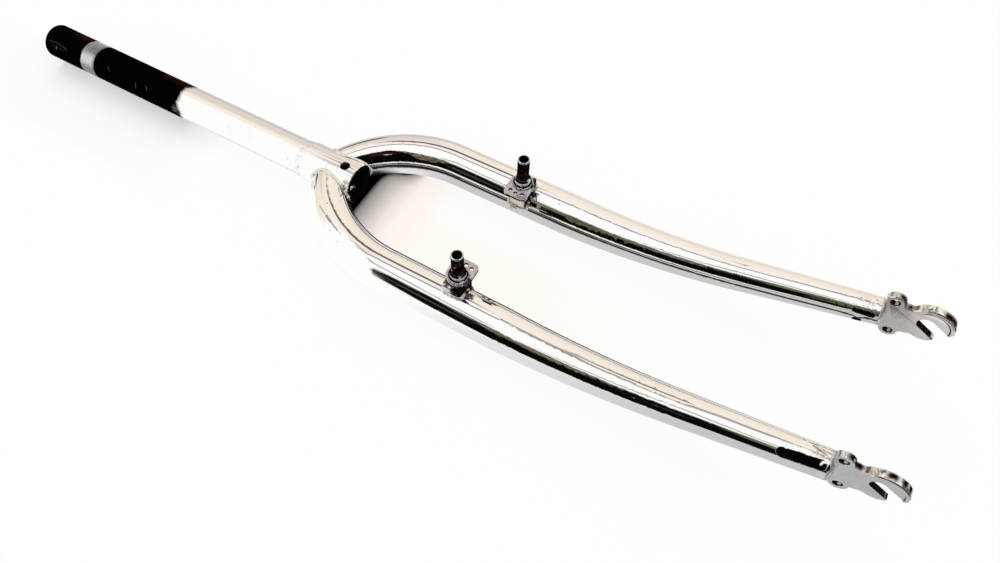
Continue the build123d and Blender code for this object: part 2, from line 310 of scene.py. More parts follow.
def steerer_finish():
    """Chrome at the crown, blackened upper end with one bare ring and brown ragged edges; painted shading
    on the ring, painted sheen on the black and painted shade in the bore and at the open lower end.
    """
    f, g = polished("steerer_chrome", waviness=0.35)
    ragged = g.wander(f.squeezed(1.0, 0.35, 1.0), 0.30, 5.0, 0.6)
    drawn = g.times(g.plus(g.step(f.x, -1.0, -9.0), g.step(f.x, 9.0, 13.0)), -2.6)
    y = g.plus(g.times_plus(ragged, 4.5, f.y), drawn)
    neat = g.times_plus(ragged, 1.6, f.y)
    lower = g.step(y, -112.4, -113.6)
    ring = g.band(neat, -207.6, -206.8, -194.8, -193.9)
    black = g.times(lower, g.rest(ring))
    lines = g.noise(f.squeezed(0.12, 2.6, 0.12), 1.0, 3.0, 0.6)
    # Painted shading and highlight on the bare ring: darker and lighter by angle about the axis, with
    # brushed lines over it.
    around = g.times(g.math("ARCTAN2", f.x, f.z), 180 / math.pi)
    bare = g.mix(g.step(around, -42.0, 0.0), (0.46, 0.45, 0.41), (0.17, 0.18, 0.165))
    bare = g.mix(g.step(around, 12.0, 42.0), bare, (0.68, 0.69, 0.69))
    bare = g.mix(g.step(around, 50.0, 80.0), bare, (0.23, 0.222, 0.205))
    bare = g.mix(g.times(g.step(lines, 0.45, 0.62), 0.30), bare, (0.60, 0.61, 0.61))
    f.layer(ring, bare, 0.35, 0.22)
    tarnish = g.times(ring, f.patches(0.54, 0.70, 0.35, 4.0, 0.6), 0.45)
    f.layer(tarnish, (0.36, 0.35, 0.32), rough=0.30)
    f.raise_by(ring, lines, 0.03)
    edge = g.times(g.step(y, -109.8, -112.8), g.step(f.y, -126.0, -120.0))
    f.layer((edge, 0.75), (0.24, 0.16, 0.10), 0.8, 0.22)
    ring_edge = g.band(neat, -197.0, -194.6, -194.0, -193.0)
    f.layer((ring_edge, 0.6), (0.16, 0.10, 0.065), rough=0.30)
    # Painted sheen: brown patches on the black's −x side, near the ring and near the black's lower end.
    brown = f.patches(0.40, 0.62, 0.12, 4.0, 0.6)
    brown = g.mix(brown, (0.005, 0.0025, 0.002), (0.030, 0.010, 0.006))
    upper = g.larger(g.step(f.y, -232.0, -212.0), g.step(f.y, -128.0, -116.0))
    lower_edges = g.larger(g.step(f.y, -200.0, -206.0), g.step(f.y, -140.0, -130.0))
    upper = g.times(upper, g.step(f.x, -1.0, -6.0), lower_edges)
    skin = g.mix(upper, (0.0012, 0.0009, 0.0009), brown)
    f.layer(black, skin, 0.0, 0.35)
    dull = f.patches(0.5, 0.7, 0.3, 5.0, 0.65)
    f.layer((black, dull), rough=0.55)
    lip = g.times(g.step(f.y, -242.6, -244.2), g.step(f.x, 4.0, -6.0))
    f.layer((lip, 0.7), (0.12, 0.095, 0.085), 0.4, 0.40)
    rub = g.noise(f.squeezed(0.50, 0.16, 0.50), 1.0, 4.0, 0.7, 1.4)
    worn = g.times(black, g.step(rub, 0.70, 0.735), f.patches(0.54, 0.62, 0.05, 2.0))
    f.layer((worn, 0.35), (0.20, 0.19, 0.18), 0.9, 0.30)
    for first, last, width, share in SCRATCHES:
        mark = g.times(f.scratch(first, last, width), share)
        f.layer(mark, (0.42, 0.42, 0.42), 0.6, 0.30)
    foot = g.times(f.spot((12.0, -114.0, 3.0), 4.4, 0.9, 0.8), f.patches(0.40, 0.60, 0.9, 3.0))
    f.layer((foot, black, 0.55), (0.34, 0.33, 0.31), 0.5, 0.35)
    f.raise_by(black, g.noise(f.mm, 0.9, 4.0, 0.6), 0.02)
    seat = g.band(f.y, -6.4, -5.4, 0.2, 1.2)
    grime = f.patches(0.42, 0.68, 0.5, 4.0, 0.6)
    f.layer((seat, grime, 0.30), (0.42, 0.38, 0.32), rough=0.25)
    for place, size in (((12.4, -2.0, 5.6), 0.9), ((12.0, 2.5, 6.0), 0.7), ((10.7, -11.6, 6.8), 0.5)):
        f.layer(f.spot(place, size), (0.30, 0.28, 0.25), rough=0.4)
    for place in ((9.6, 37.5, 10.2), (-9.8, 20.5, 9.8)):
        f.layer((f.spot(place, 2.6, 1.2), 0.6), (0.34, 0.28, 0.18), 0.8, 0.30)
    # Painted shade: near black inside the bore, mottled by the grime noise, inside the open lower end below
    # the crown, and on the end face.
    from_axis = g.math("SQRT", g.times_plus(f.x, f.x, g.times(f.z, f.z)))
    inside = g.mix(grime, (0.010, 0.008, 0.006), (0.030, 0.017, 0.010))
    f.layer(g.step(from_axis, 11.45, 11.25), inside, 0.1, 0.65)
    hole = g.times(g.step(from_axis, 13.6, 13.3), g.step(f.y, 14.0, 15.0))
    f.layer((hole, 0.95), (0.006, 0.005, 0.004), 0.1, 0.6)
    end = g.times(g.step(f.y, 39.9, 40.2), g.step(from_axis, 13.75, 13.55))
    f.layer(end, (0.004, 0.003, 0.0025), 0.0, 0.5)
    return f.close()


# Streaks on the right blade: first place, last place and width.
STREAKS = (
    ((34.5, 34.2, 10.5), (38.5, 41.5, 11.5), 0.5),
    ((39.4, 43.4, 11.8), (42.0, 48.4, 12.1), 1.1),
    ((42.0, 48.4, 12.1), (45.5, 56.5, 12.4), 0.7),
    ((45.5, 56.5, 12.4), (47.4, 61.6, 12.5), 0.4),
    ((48.7, 364.6, 42.2), (50.0, 368.0, 43.5), 0.8),
    ((50.0, 368.0, 43.5), (51.4, 371.2, 44.6), 0.7),
    ((49.0, 369.6, 43.8), (49.7, 372.9, 44.7), 0.6))
# Painted highlights in the painted dark reflection at the right blade's end, in the same form.
GLINTS = (
    ((57.0, 370.4, 43.1), (55.5, 370.9, 44.0), 0.75),
    ((55.5, 370.9, 44.0), (54.4, 373.8, 45.0), 0.8))
# Stains on the blades: place, radius, share and colour.
BLADE_STAINS = (
    ((13.6, 37.0, 8.0), 2.6, 0.7, (0.20, 0.15, 0.08)),
    ((-14.0, 22.0, 9.0), 2.4, 0.5, (0.42, 0.36, 0.28)),
    ((45.0, 156.4, 12.8), 3.0, 0.95, OLD_OIL),
    ((47.0, 158.8, 12.6), 1.5, 0.9, OLD_OIL),
    ((-36.0, 143.0, 2.2), 4.2, 0.7, RUST),
    ((36.5, 150.0, 3.0), 3.2, 0.6, RUST),
    ((40.7, 163.6, 10.0), 1.5, 1.0, GRIME),
    ((40.6, 167.2, 9.9), 1.7, 1.0, GRIME),
    ((40.6, 170.4, 9.8), 1.0, 0.9, GRIME),
    ((-39.5, 160.5, 8.8), 2.2, 0.5, (0.30, 0.25, 0.17)))
# Chips in the plating of the blades: place and radius.
CHIPS = (
    ((-47.5, 171.5, 13.2), 0.7),
    ((31.1, 38.2, 12.3), 0.7),
    ((-45.0, 172.5, 12.5), 0.6),
    ((51.8, 60.7, 10.3), 0.6),
    ((47.2, 51.8, 10.7), 0.6),
    ((59.3, 272.5, 17.3), 0.6),
    ((56.5, 355.4, 39.4), 0.9))


def blade_finish():
    """Chrome of the blades, with dirt by the bosses, stains at the crown and dulled lower ends, which carry
    a painted dark reflection, with painted highlights on the right one.
    """
    f, g = polished("blade_chrome", waviness=0.55)
    for place, size, share, tint in BLADE_STAINS:
        f.layer((f.spot(place, size, 1.1), share), tint, 0.20, 0.42)
    specks = g.step(g.dots(f.mm, 0.75), 0.20, 0.12)
    for side in SIDES.values():
        about = f.spot((side * 47.0, 160.0, 12.0), 11.0, 0.9, 0.8)
        about = g.times(about, specks, f.patches(0.45, 0.55, 0.3, 2.0), 0.7)
        f.layer(about, (0.30, 0.22, 0.15), 0.6, 0.42)
        tip = f.spot((side * 51.0, 370.0, 44.0), 6.0, 1.3)
        blotch = f.patches(0.48, 0.60, 0.45, 5.0, 0.65)
        f.layer((tip, blotch, 0.45), (0.60, 0.47, 0.38), 0.7, 0.30)
        f.layer((f.spot((side * 50.6, 368.5, 43.6), 3.6, 1.2), blotch, 0.35), RUST, 0.4, 0.45)
    for first, last, width in STREAKS:
        f.layer((f.scratch(first, last, width, 1.0, 0.5), 0.75), (0.14, 0.10, 0.07), 0.4, 0.35)
    foot = g.step(f.y, 340.0, 378.0)
    dull = f.patches(0.42, 0.66, 0.16, 5.0, 0.62)
    f.layer((foot, dull, 0.5), (0.70, 0.69, 0.66), rough=0.16)
    f.raise_by(foot, g.noise(f.mm, 0.11, 3.0, 0.6), 0.55)
    for place, size in CHIPS:
        f.layer(f.spot(place, size), (0.10, 0.08, 0.06), 0.5, 0.5)
    # Painted dark reflection: near-black bands along the blades' lower ends.
    dark_reflection = (0.0025, 0.002, 0.0018)
    f.layer(f.scratch((58.2, 352.0, 37.8), (57.2, 370.6, 42.9), 3.3, 0.22, 0.14), dark_reflection, 0.0, 0.4)
    f.layer(f.scratch((-45.4, 362.0, 37.6), (-44.8, 371.6, 39.9), 2.0, 0.25, 0.2), dark_reflection, 0.0, 0.4)
    # Painted highlights in the right band.
    for first, last, width in GLINTS:
        f.layer(f.scratch(first, last, width, 0.3, 0.3), (0.92, 0.92, 0.93), 0.3, 0.12)
    return f.close()


# Stains on the crown's welds: place, radius, share and colour.
WELD_STAINS = (
    ((12.0, 37.8, 9.0), 3.0, 0.85, (0.12, 0.09, 0.05)),
    ((13.6, 13.5, 7.0), 2.0, 0.5, (0.20, 0.18, 0.15)),
    ((-12.5, 20.0, 10.0), 2.4, 0.7, (0.20, 0.17, 0.13)),
    ((-12.0, 38.0, 9.0), 2.4, 0.6, (0.18, 0.14, 0.09)))


def weld_finish():
    """Plated weld metal, duller than the tubes and stained in its valleys, with a painted dark reflection
    at the right dropout's weld.
    """
    f, g = polished("weld_chrome", base=(0.88, 0.87, 0.85), rough=0.06, waviness=0.3)
    film = g.noise(f.mm, 0.35, 5.0, 0.65)
    skin = g.mix(g.step(film, 0.40, 0.66), (0.90, 0.86, 0.79), (0.72, 0.66, 0.56))
    f.layer(0.6, skin, 0.5, 0.18)
    for place, size, share, tint in WELD_STAINS:
        f.layer((f.spot(place, size, 1.0), share), tint, 0.6, 0.36)
    for side in SIDES.values():
        boss = f.spot((side * 41.5, 151.5, 11.0), 9.0, 0.7, 0.5)
        f.layer((boss, g.step(film, 0.38, 0.46)), (0.006, 0.0045, 0.0035), 0.0, 0.45)
        foot = f.spot((side * 35.0, 145.0, 4.0), 6.0, 0.8)
        f.layer((foot, g.step(film, 0.40, 0.56), 0.85), RUST, 0.3, 0.5)
    end = g.times(g.step(f.y, 372.0, 376.0), g.step(film, 0.38, 0.52))
    f.layer(g.step(f.y, 372.0, 375.0), (0.74, 0.735, 0.72), 0.6, 0.24)
    f.layer((end, 0.30), (0.16, 0.12, 0.09), 0.5, 0.34)
    # Painted dark reflection, carried on over the right dropout's weld.
    dark_reflection = f.scratch((57.2, 368.0, 42.4), (57.3, 373.0, 43.6), 2.6, 0.22, 0.14)
    f.layer(dark_reflection, (0.003, 0.002, 0.002), 0.0, 0.4)
    f.raise_by(g.noise(f.mm, 1.1, 3.0, 0.6), 0.05)
    return f.close()


# Painted dark reflections on the dropouts' edges: first place, last place and width.
EDGE_DARK_REFLECTIONS = (
    ((-52.1, 379.8, 57.6), (-52.1, 383.6, 53.6), 2.5),
    ((-52.1, 383.6, 53.6), (-52.1, 386.4, 52.0), 2.5),
    ((-52.1, 404.4, 57.2), (-52.1, 409.8, 53.0), 2.7),
    ((52.1, 380.2, 57.0), (52.1, 383.6, 53.4), 3.0),
    ((52.1, 383.6, 53.4), (52.1, 386.0, 51.0), 2.6),
    ((52.1, 398.8, 57.6), (52.1, 400.4, 57.4), 2.2),
    ((52.1, 406.4, 56.4), (52.1, 410.0, 53.2), 2.7))
# Painted highlights among them: place and radius.
EDGE_GLINTS = (((52.6, 381.6, 55.6), 1.1), ((52.2, 408.4, 55.0), 1.6), ((-52.6, 381.4, 55.4), 0.7))


def dropout_finish():
    """Bright edges, dull mottled faces, old dirt in the slot, a dark line in the corner of the lip, painted
    shade in the eyelets and on the left faces, painted highlights and painted dark reflections on the
    edges.
    """
    f, g = polished("dropout_chrome", base=(0.90, 0.895, 0.88), rough=0.07, waviness=0.35)
    across, _, _ = g.parts(f.normal)
    face = g.step(g.math("ABSOLUTE", across), 0.86, 0.97)
    mottle = g.noise(f.mm, 0.13, 6.0, 0.66, 0.8)
    fine = g.noise(f.mm, 0.9, 5.0, 0.6)
    cloud = g.step(mottle, 0.34, 0.68)
    dull = g.mix(cloud, (0.69, 0.695, 0.69), (0.775, 0.785, 0.78))
    # Painted shade: the left dropout's faces darker and warmer than the right's.
    left_dull = g.mix(cloud, (0.63, 0.595, 0.565), (0.73, 0.695, 0.665))
    dull = g.mix(g.step(f.x, 2.0, -2.0), dull, left_dull)
    f.layer(face, dull, rough=0.26)
    f.layer((face, g.step(fine, 0.50, 0.66)), rough=0.33)
    f.raise_by(face, fine, 0.012)
    f.raise_by(face, g.noise(f.mm, 0.16, 3.0, 0.5), 0.16)
    scuff = g.noise(f.squeezed(1.0, 1.6, 0.35), 0.8, 4.0, 0.6, 0.8)
    f.layer((face, g.step(scuff, 0.64, 0.72), 0.4), (0.86, 0.85, 0.84), rough=0.20)
    freckle = g.times(g.step(g.dots(f.mm, 0.30), 0.15, 0.07), f.patches(0.50, 0.62, 0.09, 3.0))
    f.layer((freckle, 0.75), (0.20, 0.15, 0.12), 0.6, 0.45)
    # Brown mottled patches on the edges.
    edge_mottle = g.noise(f.squeezed(0.3, 1.0, 1.0), 0.24, 5.0, 0.6, 0.7)
    rim = g.rest(face)
    f.layer((rim, g.step(edge_mottle, 0.52, 0.62), 0.75), (0.16, 0.10, 0.065), 0.8, 0.16)

    axle = f.from_line(*AXLE[1:])
    middle = f.from_line(*ROUND_CENTRE[1:])
    from_axle = g.vector("SUBTRACT", f.mm, tuple(1000 * AXLE))
    along = g.dot(from_axle, tuple(SLOT_ALONG))
    over = g.dot(from_axle, tuple(SLOT_ACROSS))
    hook = g.times(g.step(over, 3.6, 5.4), g.step(along, -10.5, -7.5))
    rub = g.times(face, g.band(axle, 4.6, 5.6, 9.8, 10.6))
    f.layer((rub, 0.35), g.mix(fine, (0.60, 0.58, 0.56), (0.80, 0.79, 0.78)), rough=0.22)
    # Painted highlight: a bright arc on the hook's face, round the middle of the slot's end.
    glint = g.times(face, hook, g.band(middle, 8.6, 9.4, 10.3, 10.9), g.step(along, 4.0, -1.0))
    f.layer((glint, 0.75), (0.95, 0.95, 0.94), rough=0.10)
    depth = g.math("ABSOLUTE", f.x)
    outer = g.times(face, g.band(middle, 11.15, 11.45, 11.75, 11.95), g.step(depth, 51.0, 51.6))
    inner = g.times(g.band(middle, 10.65, 10.95, 11.50, 11.80), g.step(depth, 51.6, 51.0))
    corner = g.times(g.larger(outer, inner), hook)
    f.layer((corner, g.step(mottle, 0.26, 0.40), 0.94), (0.020, 0.014, 0.011), 0.0, 0.42)
    jaw = g.noise(f.squeezed(2.4, 0.6, 0.6), 1.0, 3.0)
    crumb = g.noise(f.mm, 1.3, 4.0, 0.6)
    slot = g.times(g.step(axle, 11.9, 10.9), g.step(g.math("ABSOLUTE", over), 5.2, 4.85))
    slot = g.times(slot, g.step(along, -5.2, -4.4), rim)
    dirt = g.mix(g.step(jaw, 0.50, 0.66), (0.004, 0.0025, 0.002), (0.040, 0.013, 0.009))
    f.layer(slot, dirt, 0.0, 0.5)
    f.layer((slot, g.step(crumb, 0.62, 0.68), 0.7), (0.42, 0.36, 0.32), 0.8, 0.3)
    # Painted shade inside the eyelets, mottled by the jaw noise.
    for y, z in EYELETS:
        hole = g.step(f.from_line(y, z), 2.95, 2.65)
        f.layer(hole, g.mix(jaw, (0.003, 0.002, 0.002), (0.016, 0.010, 0.008)), 0.0, 0.4)
    neck = g.times(g.step(f.y, 379.5, 376.5), g.step(mottle, 0.38, 0.54))
    f.layer((neck, 0.25), (0.10, 0.07, 0.05), 0.6, 0.40)
    # Painted dark reflections on the edges: a brown halo round a black core, with painted highlights in
    # them.
    for first, last, width in EDGE_DARK_REFLECTIONS:
        edge_brown_reflection = g.times(f.scratch(first, last, width + 1.8, 0.45, 0.9), rim, 0.9)
        f.layer(edge_brown_reflection, (0.17, 0.095, 0.050), 0.5, 0.22)
    for first, last, width in EDGE_DARK_REFLECTIONS:
        edge_dark_reflection = g.times(f.scratch(first, last, width, 0.55, 0.75), rim)
        f.layer(edge_dark_reflection, (0.0045, 0.003, 0.0024), 0.0, 0.4)
    for place, size in EDGE_GLINTS:
        f.layer((f.spot(place, size, 0.6, 0.7), rim, 0.9), (0.88, 0.73, 0.55), 0.4, 0.2)
    # Painted highlight on the tip of the right dropout's lower jaw.
    f.layer((f.spot((54.2, 406.0, 31.2), 1.7, 0.5, 0.4), 0.9), (0.97, 0.97, 0.96), 0.2, 0.15)
    return f.close()


def boss_finish():
    """Plated block with rust and grime at its foot and on its lower side; a painted cream reflection on the
    right one's −y face and painted dark reflections with glints on the +y sides.
    """
    f, g = polished("boss_chrome", base=(0.90, 0.885, 0.875), rough=0.10, waviness=0.3)
    crust = g.noise(f.mm, 0.30, 6.0, 0.65, 0.5)
    fleck = g.noise(f.mm, 0.62, 5.0, 0.62, 0.4)
    black = (0.0045, 0.003, 0.0022)
    left = g.step(f.x, 2.0, -2.0)
    skin = g.mix(fleck, (0.84, 0.79, 0.77), (0.92, 0.87, 0.83))
    f.layer(g.step(fleck, 0.30, 0.70), skin, 0.40, 0.22)
    low = g.step(g.times_plus(crust, 5.0, f.z), 9.4, 7.2)
    f.layer((low, left, 0.85), (0.46, 0.24, 0.09), 0.25, 0.50)
    corner = g.times(left, g.step(f.y, 142.6, 140.0), g.step(crust, 0.40, 0.52))
    f.layer((corner, 0.7), (0.55, 0.34, 0.17), 0.4, 0.45)
    right = g.step(f.x, 30.0, 34.0)
    # Painted cream reflection on the right boss's −y face.
    f.layer((right, g.step(f.y, 147.0, 143.5)), (0.95, 0.86, 0.76), 0.15, 0.25)
    # Painted dark reflection on the +y sides, broken by the crust noise.
    aft = g.times(g.step(f.y, 150.6, 152.0), g.step(crust, 0.30, 0.38))
    f.layer(aft, black, 0.0, 0.5)
    right_aft = g.times(right, g.step(g.times_plus(crust, 9.0, f.y), 149.6, 151.0))
    f.layer(right_aft, black, 0.0, 0.5)
    dirt = g.times(right, g.step(crust, 0.56, 0.62), g.step(f.y, 142.5, 145.5))
    f.layer((dirt, 0.9), (0.085, 0.040, 0.018), 0.2, 0.5)
    # Painted glints and a painted brown reflection within the dark reflection.
    dark = g.larger(aft, right_aft)
    f.layer((dark, g.step(fleck, 0.615, 0.66)), (0.70, 0.60, 0.52), 0.9, 0.22)
    f.layer((dark, g.step(fleck, 0.36, 0.32), 0.8), (0.14, 0.035, 0.020), 0.2, 0.45)
    top = g.times(g.step(f.z, 18.9, 19.8), g.step(crust, 0.40, 0.50))
    f.layer((top, 0.9), black, 0.0, 0.5)
    f.raise_by(crust, 0.12)
    return f.close()


def plate_finish():
    """Plated sheet steel, dulled, with grease round the stud, painted shade in the spring holes and painted
    light on the left plate.
    """
    f, g = polished("plate_steel", base=(0.60, 0.535, 0.54), rough=0.18, waviness=0.2)
    grease = g.noise(f.mm, 0.34, 6.0, 0.62, 0.4)
    fleck = g.noise(f.mm, 0.60, 5.0, 0.62, 0.4)
    _, _, up = g.parts(f.normal)
    rim = g.step(g.math("ABSOLUTE", up), 0.92, 0.70)
    left = g.step(f.x, 2.0, -2.0)
    # Painted light: the left plate lighter than the right.
    f.layer(left, (0.86, 0.83, 0.81), rough=0.13)
    f.layer((g.step(grease, 0.50, 0.62), 0.45), (0.42, 0.34, 0.34), rough=0.28)
    f.layer((left, g.step(fleck, 0.58, 0.64), 0.6), (0.16, 0.13, 0.12), 0.4, 0.40)
    f.layer((left, 0.6), metal=0.45)
    f.layer((rim, g.step(grease, 0.38, 0.46)), (0.010, 0.007, 0.006), 0.1, 0.45)
    for side in SIDES.values():
        stud = f.spot((side * STUD_X_MM, STUD_Y_MM, PLATE_TOP_MM), 7.4, 0.35, 0.3)
        f.layer((stud, g.step(grease, 0.38, 0.46), 0.95), (0.006, 0.004, 0.0035), 0.0, 0.5)
        aft = f.spot((side * STUD_X_MM, 151.0, PLATE_TOP_MM), 5.4, 0.6)
        f.layer((aft, g.step(grease, 0.40, 0.50), 0.95), (0.006, 0.004, 0.003), 0.0, 0.5)
    # Painted shade in the spring holes.
    for turn in SPRING_HOLE_TURNS:
        lean = math.radians(180 + turn)
        for side in SIDES.values():
            x = side * (STUD_X_MM + SPRING_HOLE_REACH_MM * math.cos(lean))
            y = STUD_Y_MM + SPRING_HOLE_REACH_MM * math.sin(lean)
            hole = f.spot((x, y, 21.2), 1.75, 0.25, 0.2)
            f.layer((hole, 0.9), (0.012, 0.009, 0.008), 0.1, 0.5)
    f.layer((g.step(grease, 0.62, 0.72), 0.5), RUST, 0.3, 0.5)
    f.raise_by(grease, 0.06)
    return f.close()


# Pale pinkish spots on the right stud, painted glare: place, radius and share. Dark grooves of both studs,
# painted shade: low and high.
STUD_GLARE = (
    ((44.3, 143.1, 32.2), 2.4, 0.75), ((42.6, 142.2, 41.5), 1.8, 0.45), ((45.4, 146.4, 37.5), 1.3, 0.25))
STUD_GROOVES = ((24.15, 24.75), (21.4, 22.35), (27.45, 28.2))


def stud_finish():
    """Turned steel: bright rings at the collars, the pin dark with old grease, with painted glare on the
    right pin and painted shade in the grooves and the tip's bore.
    """
    f, g = polished("stud_steel", base=(0.92, 0.92, 0.915), rough=0.08, waviness=0.1)
    turned = g.noise(f.squeezed(0.05, 0.05, 3.4), 1.0, 3.0, 0.6)
    f.raise_by(turned, 0.05)
    grease = g.noise(f.mm, 0.26, 6.0, 0.62, 0.5)
    spatter = g.noise(f.mm, 0.50, 5.0, 0.65, 0.5)
    height = g.times_plus(g.minus(grease, 0.5), 2.0, f.z)
    pin = g.step(height, 27.8, 28.3)
    skin = g.mix(g.step(grease, 0.46, 0.62), (0.0016, 0.0011, 0.0010), (0.026, 0.009, 0.006))
    f.layer(pin, skin, 0.0, 0.45)
    shine = g.noise(f.squeezed(0.8, 0.8, 0.20), 0.6, 4.0, 0.6)
    f.layer((pin, g.step(shine, 0.62, 0.70), 0.30), (0.20, 0.13, 0.10), 0.9, 0.22)
    # Painted glare on the right stud's pin, towards −y.
    for place, size, share in STUD_GLARE:
        f.layer((f.spot(place, size, 0.7, 0.8), share), (0.60, 0.44, 0.36), 0.5, 0.32)
    for side in SIDES.values():
        flat = g.vector("SUBTRACT", f.mm, (side * STUD_X_MM, STUD_Y_MM, 0.0))
        here = g.step(g.times(f.x, side), 0.0, 1.0)
        from_axis = g.vector("LENGTH", g.vector("MULTIPLY", flat, (1.0, 1.0, 0.0)))
        rim = g.times(here, g.step(f.z, 45.3, 45.9), g.step(from_axis, 3.15, 3.4))
        f.layer((rim, g.step(spatter, 0.34, 0.46), 0.95), (0.82, 0.80, 0.78), 1.0, 0.14)
        # Painted shade inside the tip's bore.
        bore = g.times(here, g.step(from_axis, 3.2, 2.9), g.step(f.z, 28.0, 29.0))
        f.layer(bore, (0.0025, 0.002, 0.0018), 0.0, 0.6)
    below = g.step(f.z, 28.6, 28.0)
    bright = g.mix(g.step(grease, 0.40, 0.60), (0.90, 0.91, 0.91), (0.66, 0.66, 0.66))
    f.layer(below, bright, 0.45, 0.16)
    f.layer((below, g.step(spatter, 0.545, 0.575)), (0.0035, 0.0025, 0.002), 0.0, 0.5)
    # Painted shade in the grooves, broken by the grease noise.
    for low, high in STUD_GROOVES:
        groove = g.band(f.z, low - 0.25, low + 0.05, high - 0.05, high + 0.25)
        groove = g.times(groove, g.step(grease, 0.36, 0.44))
        f.layer(groove, (0.003, 0.002, 0.0018), 0.0, 0.5)
    return f.close()


def thread_finish():
    """Dark oily steel of the cut threads, with painted light on one side of each eyelet's thread."""
    f = Finish("thread_steel", (0.012, 0.010, 0.008), 0.2, 0.35, gloss=0.05)
    g = f.graph
    film = g.noise(f.mm, 0.7, 5.0, 0.6)
    f.layer(g.step(film, 0.40, 0.62), (0.006, 0.004, 0.003), 0.1, 0.42)
    # Painted light: a pale crescent on one side of each eyelet's thread.
    for y, z in EYELETS:
        away = g.vector("SUBTRACT", f.mm, (0.0, 1000 * y, 1000 * z))
        low = g.dot(away, (0.0, 0.6, -0.8))
        near = g.step(f.from_line(y, z), 4.0, 3.5)
        f.layer((near, g.step(low, 2.10, 2.40), 0.95), (0.86, 0.83, 0.80), 0.25, 0.2)
    f.raise_by(film, 0.02)
    return f.close()


def link(name, data):
    """New object in the scene."""
    made = bpy.data.objects.new(name, data)
    bpy.context.scene.collection.objects.link(made)
    return made


def dress(mesh, material):
    mesh.materials.clear()
    mesh.materials.append(material)


def settle(piece):
    """Mesh of a piece after its modifiers, which are then removed."""
    bpy.context.view_layer.update()
    shaped = piece.evaluated_get(bpy.context.evaluated_depsgraph_get())
    made = bpy.data.meshes.new_from_object(shaped)
    piece.modifiers.clear()
    return made


def add_piece(name, shape, material, slot_name, *replaced):
    """New mesh piece that rides on the fork, in place of the CAD nodes named."""
    verts, faces = shape
    mesh = bpy.data.meshes.new(name)
    mesh.from_pydata([tuple(v) for v in verts], [], faces)
    mesh.update()
    dress(mesh, material)
    mesh.shade_smooth()
    piece = link(name, mesh)
    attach(piece, "root")
    if replaced:
        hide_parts(*replaced)


def node_points(node):
    """Corner points of a CAD node's mesh."""
    return np.array([v.co for v in nodes[node].data.vertices], float)


def smooth_loop(points, count):
    """Evenly spaced points on a closed smooth line through scattered points round a hole."""
    centre = points.mean(0)
    _, _, axes = np.linalg.svd(points - centre)
    flat = (points - centre) @ axes[:2].T
    angle = np.arctan2(flat[:, 1], flat[:, 0])
    order = np.argsort(angle)
    angle, points = angle[order], points[order]
    angle = np.concatenate([angle - 2 * np.pi, angle, angle + 2 * np.pi])
    points = np.concatenate([points] * 3)
    turn = np.linspace(-np.pi, np.pi, 720, endpoint=False)
    line = np.stack([np.interp(turn, angle, points[:, k]) for k in range(3)], 1)
    for _ in range(6):
        line = (np.roll(line, 1, 0) + 2 * line + np.roll(line, -1, 0)) / 4
    step = np.linalg.norm(np.roll(line, -1, 0) - line, axis=1)
    run = np.concatenate([[0.0], np.cumsum(step)])
    closed = np.concatenate([line, line[:1]])
    where = np.linspace(0.0, run[-1], count, endpoint=False)
    return np.stack([np.interp(where, run, closed[:, k]) for k in range(3)], 1), run[-1]


def grid_faces(rows, columns, closed=False):
    """Squares between the points of a grid, row by row; a closed grid joins up both ways."""
    faces = []
    for i in range(rows if closed else rows - 1):
        for k in range(columns if closed else columns - 1):
            a, b = i * columns, (i + 1) % rows * columns
            m = (k + 1) % columns
            faces.append((a + k, a + m, b + m, b + k))
    return faces


def rippled_bead(line, length, outward, seed, radius, pitch, depth):
    """Closed bead along a line, with one overlapping scale for each pitch."""
    count, round_count = len(line), 20
    uneven, swept, first_place, crest = 0.03, 0.32, 0.2, 0.6
    rng = np.random.default_rng(seed)
    scales = max(3, round(length / pitch))
    size = 1 + uneven * rng.standard_normal(scales)
    tangent = np.roll(line, -1, 0) - np.roll(line, 1, 0)
    tangent /= np.linalg.norm(tangent, axis=1)[:, None]
    out = outward - (outward * tangent).sum(1)[:, None] * tangent
    out /= np.linalg.norm(out, axis=1)[:, None]
    side = np.cross(tangent, out)
    verts = []
    for i in range(count):
        for k in range(round_count):
            turn = 2 * np.pi * k / round_count
            place = i / count * scales - swept * (1 - np.cos(turn)) + first_place
            scale = int(np.floor(place)) % scales
            share = place - np.floor(place)
            grow = size[scale] * (1 - depth * (1 - np.sin(np.pi * share) ** crest))
            verts.append(line[i] + radius * grow * (np.cos(turn) * out[i] + np.sin(turn) * side[i]))
    return verts, grid_faces(count, round_count, closed=True)


def helix_thread(centre, axis, across, length, pitch, radius, depth):
    """Ridge of an internal thread, from a wall of a given radius in towards the axis."""
    centre, axis, across = np.array(centre), np.array(axis, float), np.array(across, float)
    third = np.cross(axis, across)
    steps = 28
    count = int(length / pitch * steps)
    # Reach out from the wall, and place along the axis in pitches
    profile = [(0.06 * depth, -0.48), (-depth, -0.09), (-depth, 0.09), (0.06 * depth, 0.48)]
    verts = []
    for i in range(count + 1):
        turn = 2 * np.pi * i / steps
        ray = np.cos(turn) * across + np.sin(turn) * third
        along = i / steps * pitch - length / 2
        fade = max(min(1.0, i / steps, (count - i) / steps), 0.02)
        for outward, offset in profile:
            verts.append(centre + ray * (radius + outward * fade) + axis * (along + offset * pitch))
    return verts, grid_faces(count + 1, len(profile))


